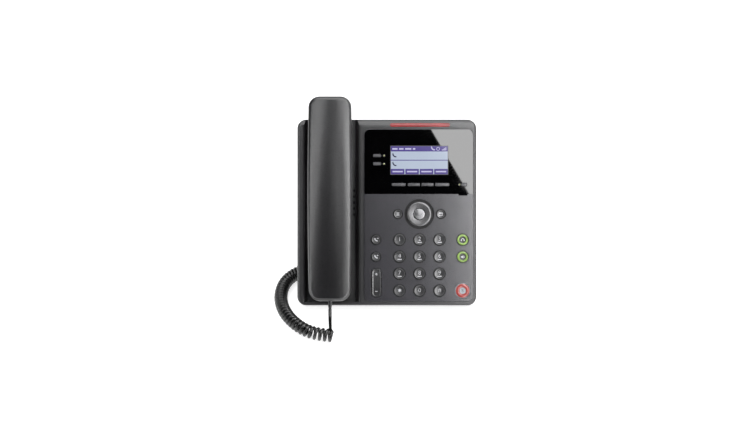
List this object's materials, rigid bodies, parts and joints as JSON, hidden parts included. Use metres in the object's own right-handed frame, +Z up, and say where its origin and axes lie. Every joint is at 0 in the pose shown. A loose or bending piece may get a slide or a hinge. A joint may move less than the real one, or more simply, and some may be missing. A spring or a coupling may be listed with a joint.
{
  "type": "desk ip phone",
  "caption": "Desk telephone on a tilted stand, with a handset in a side cradle on a curly cord, a display under a gloss lens, dial and feature keys, and network sockets at the back.",
  "frame": {"origin": "on the desk, under the middle of the telephone's box without its cord", "axes": "+X to the user's right, +Y away from the user, +Z up"},
  "size_m": [0.202, 0.189, 0.176],
  "materials": {
    "housing_plastic": "fine moulded texture",
    "panel_plastic": "fine moulded texture",
    "lens_gloss": "polished black",
    "handset_plastic": "fine moulded texture",
    "key_plastic": "satin",
    "bar_key_plastic": "satin",
    "nav_satin": "satin grey",
    "nav_spun": "spun",
    "red_light": "translucent",
    "green_light": "translucent",
    "lamp": "translucent",
    "display": "backlit",
    "board": "solder mask",
    "silicone": "matt",
    "inner_plastic": "plain",
    "speaker_metal": "plated",
    "screw_steel": "plated",
    "foot_rubber": "matt",
    "cord_plastic": "smooth",
    "plug_plastic": "smooth"
  },
  "bodies": {
    "console": {"front_housing": "housing_plastic", "rear_housing": "housing_plastic", "housing_screws": "screw_steel", "face_panel": "panel_plastic", "display_lens": "lens_gloss", "message_light": "red_light", "indicator_lights": "lamp", "lcd_module": "display", "main_board": "board", "keymat": "silicone", "loudspeaker": "speaker_metal", "network_jacks": "inner_plastic", "cord_jacks": "inner_plastic", "hanger_tab": "inner_plastic", "desk_stand": "housing_plastic", "rubber_feet": "foot_rubber", "cord_handset_lead": "cord_plastic", "cord_coil": "cord_plastic", "cord_base_lead": "cord_plastic", "base_plug": "plug_plastic"},
    "handset": {"handset_outer_shell": "handset_plastic", "handset_inner_shell": "handset_plastic", "handset_jack": "inner_plastic", "receiver_capsule": "speaker_metal", "handset_microphone": "speaker_metal", "handset_plug": "plug_plastic"},
    "hook_plunger": {"hook_plunger": "inner_plastic"},
    "volume_rocker": {"volume_rocker": "key_plastic"},
    "nav_pivot": {"nav_pivot": "inner_plastic"},
    "nav_ring": {"nav_ring": "nav_satin"},
    "nav_ok": {"nav_ok": "nav_spun"},
    "key_1": {"key_1": "key_plastic"},
    "key_2": {"key_2": "key_plastic"},
    "key_3": {"key_3": "key_plastic"},
    "key_4": {"key_4": "key_plastic"},
    "key_5": {"key_5": "key_plastic"},
    "key_6": {"key_6": "key_plastic"},
    "key_7": {"key_7": "key_plastic"},
    "key_8": {"key_8": "key_plastic"},
    "key_9": {"key_9": "key_plastic"},
    "key_star": {"key_star": "key_plastic"},
    "key_0": {"key_0": "key_plastic"},
    "key_hash": {"key_hash": "key_plastic"},
    "hold_key": {"hold_key": "key_plastic"},
    "transfer_key": {"transfer_key": "key_plastic"},
    "menu_key": {"menu_key": "key_plastic"},
    "messages_key": {"messages_key": "key_plastic"},
    "headset_key": {"headset_key": "key_plastic", "headset_key_ring": "green_light"},
    "speaker_key": {"speaker_key": "key_plastic", "speaker_key_ring": "green_light"},
    "mute_key": {"mute_key": "key_plastic", "mute_key_ring": "red_light"},
    "softkey_1": {"softkey_1": "bar_key_plastic"},
    "softkey_2": {"softkey_2": "bar_key_plastic"},
    "softkey_3": {"softkey_3": "bar_key_plastic"},
    "softkey_4": {"softkey_4": "bar_key_plastic"},
    "line_key_1": {"line_key_1": "bar_key_plastic"},
    "line_key_2": {"line_key_2": "bar_key_plastic"},
    "back_key": {"back_key": "bar_key_plastic"}
  },
  "joints": [
    {"name": "handset_lift", "type": "slide", "parent": "console", "child": "handset", "axis": [0, -0.7071, 0.7071], "range_m": [0, 0.08]},
    {"name": "hook_rise", "type": "slide", "parent": "console", "child": "hook_plunger", "axis": [0, -0.7071, 0.7071], "range_m": [0, 0.004]},
    {"name": "key_1_press", "type": "slide", "parent": "console", "child": "key_1", "axis": [0, 0.7071, -0.7071], "range_m": [0, 0.0012], "stiffness_N_per_m": 500, "springref_m": -0.0002},
    {"name": "key_2_press", "type": "slide", "parent": "console", "child": "key_2", "axis": [0, 0.7071, -0.7071], "range_m": [0, 0.0012], "stiffness_N_per_m": 500, "springref_m": -0.0002},
    {"name": "key_3_press", "type": "slide", "parent": "console", "child": "key_3", "axis": [0, 0.7071, -0.7071], "range_m": [0, 0.0012], "stiffness_N_per_m": 500, "springref_m": -0.0002},
    {"name": "key_4_press", "type": "slide", "parent": "console", "child": "key_4", "axis": [0, 0.7071, -0.7071], "range_m": [0, 0.0012], "stiffness_N_per_m": 500, "springref_m": -0.0002},
    {"name": "key_5_press", "type": "slide", "parent": "console", "child": "key_5", "axis": [0, 0.7071, -0.7071], "range_m": [0, 0.0012], "stiffness_N_per_m": 500, "springref_m": -0.0002},
    {"name": "key_6_press", "type": "slide", "parent": "console", "child": "key_6", "axis": [0, 0.7071, -0.7071], "range_m": [0, 0.0012], "stiffness_N_per_m": 500, "springref_m": -0.0002},
    {"name": "key_7_press", "type": "slide", "parent": "console", "child": "key_7", "axis": [0, 0.7071, -0.7071], "range_m": [0, 0.0012], "stiffness_N_per_m": 500, "springref_m": -0.0002},
    {"name": "key_8_press", "type": "slide", "parent": "console", "child": "key_8", "axis": [0, 0.7071, -0.7071], "range_m": [0, 0.0012], "stiffness_N_per_m": 500, "springref_m": -0.0002},
    {"name": "key_9_press", "type": "slide", "parent": "console", "child": "key_9", "axis": [0, 0.7071, -0.7071], "range_m": [0, 0.0012], "stiffness_N_per_m": 500, "springref_m": -0.0002},
    {"name": "key_star_press", "type": "slide", "parent": "console", "child": "key_star", "axis": [0, 0.7071, -0.7071], "range_m": [0, 0.0012], "stiffness_N_per_m": 500, "springref_m": -0.0002},
    {"name": "key_0_press", "type": "slide", "parent": "console", "child": "key_0", "axis": [0, 0.7071, -0.7071], "range_m": [0, 0.0012], "stiffness_N_per_m": 500, "springref_m": -0.0002},
    {"name": "key_hash_press", "type": "slide", "parent": "console", "child": "key_hash", "axis": [0, 0.7071, -0.7071], "range_m": [0, 0.0012], "stiffness_N_per_m": 500, "springref_m": -0.0002},
    {"name": "hold_key_press", "type": "slide", "parent": "console", "child": "hold_key", "axis": [0, 0.7071, -0.7071], "range_m": [0, 0.0012], "stiffness_N_per_m": 500, "springref_m": -0.0002},
    {"name": "transfer_key_press", "type": "slide", "parent": "console", "child": "transfer_key", "axis": [0, 0.7071, -0.7071], "range_m": [0, 0.0012], "stiffness_N_per_m": 500, "springref_m": -0.0002},
    {"name": "menu_key_press", "type": "slide", "parent": "console", "child": "menu_key", "axis": [0, 0.7071, -0.7071], "range_m": [0, 0.0012], "stiffness_N_per_m": 500, "springref_m": -0.0002},
    {"name": "messages_key_press", "type": "slide", "parent": "console", "child": "messages_key", "axis": [0, 0.7071, -0.7071], "range_m": [0, 0.0012], "stiffness_N_per_m": 500, "springref_m": -0.0002},
    {"name": "headset_key_press", "type": "slide", "parent": "console", "child": "headset_key", "axis": [0, 0.7071, -0.7071], "range_m": [0, 0.0012], "stiffness_N_per_m": 500, "springref_m": -0.0002},
    {"name": "speaker_key_press", "type": "slide", "parent": "console", "child": "speaker_key", "axis": [0, 0.7071, -0.7071], "range_m": [0, 0.0012], "stiffness_N_per_m": 500, "springref_m": -0.0002},
    {"name": "mute_key_press", "type": "slide", "parent": "console", "child": "mute_key", "axis": [0, 0.7071, -0.7071], "range_m": [0, 0.0012], "stiffness_N_per_m": 500, "springref_m": -0.0002},
    {"name": "softkey_1_press", "type": "slide", "parent": "console", "child": "softkey_1", "axis": [0, 0.7071, -0.7071], "range_m": [0, 0.0008], "stiffness_N_per_m": 600, "springref_m": -0.0002},
    {"name": "softkey_2_press", "type": "slide", "parent": "console", "child": "softkey_2", "axis": [0, 0.7071, -0.7071], "range_m": [0, 0.0008], "stiffness_N_per_m": 600, "springref_m": -0.0002},
    {"name": "softkey_3_press", "type": "slide", "parent": "console", "child": "softkey_3", "axis": [0, 0.7071, -0.7071], "range_m": [0, 0.0008], "stiffness_N_per_m": 600, "springref_m": -0.0002},
    {"name": "softkey_4_press", "type": "slide", "parent": "console", "child": "softkey_4", "axis": [0, 0.7071, -0.7071], "range_m": [0, 0.0008], "stiffness_N_per_m": 600, "springref_m": -0.0002},
    {"name": "line_key_1_press", "type": "slide", "parent": "console", "child": "line_key_1", "axis": [0, 0.7071, -0.7071], "range_m": [0, 0.0008], "stiffness_N_per_m": 600, "springref_m": -0.0002},
    {"name": "line_key_2_press", "type": "slide", "parent": "console", "child": "line_key_2", "axis": [0, 0.7071, -0.7071], "range_m": [0, 0.0008], "stiffness_N_per_m": 600, "springref_m": -0.0002},
    {"name": "back_key_press", "type": "slide", "parent": "console", "child": "back_key", "axis": [0, 0.7071, -0.7071], "range_m": [0, 0.0008], "stiffness_N_per_m": 600, "springref_m": -0.0002},
    {"name": "nav_ok_press", "type": "slide", "parent": "console", "child": "nav_ok", "axis": [0, 0.7071, -0.7071], "range_m": [0, 0.0009], "stiffness_N_per_m": 600, "springref_m": -0.0002},
    {"name": "volume_rock", "type": "hinge", "parent": "console", "child": "volume_rocker", "pos_m": [-0.0104, -0.05148, 0.02978], "axis": [1, 0, 0], "range_deg": [-3, 3], "stiffness_Nm_per_rad": 0.08},
    {"name": "nav_tilt_up_down", "type": "hinge", "parent": "console", "child": "nav_pivot", "pos_m": [0.03255, -0.00184, 0.0773], "axis": [1, 0, 0], "range_deg": [-3, 3], "stiffness_Nm_per_rad": 0.1},
    {"name": "nav_tilt_left_right", "type": "hinge", "parent": "nav_pivot", "child": "nav_ring", "pos_m": [0.03255, -0.00184, 0.0773], "axis": [0, 0.7071, 0.7071], "range_deg": [-3, 3], "stiffness_Nm_per_rad": 0.1}
  ],
  "couplings": [
    {"joint": "hook_rise", "follows": "handset_lift", "ratio": 0.05}
  ]
}
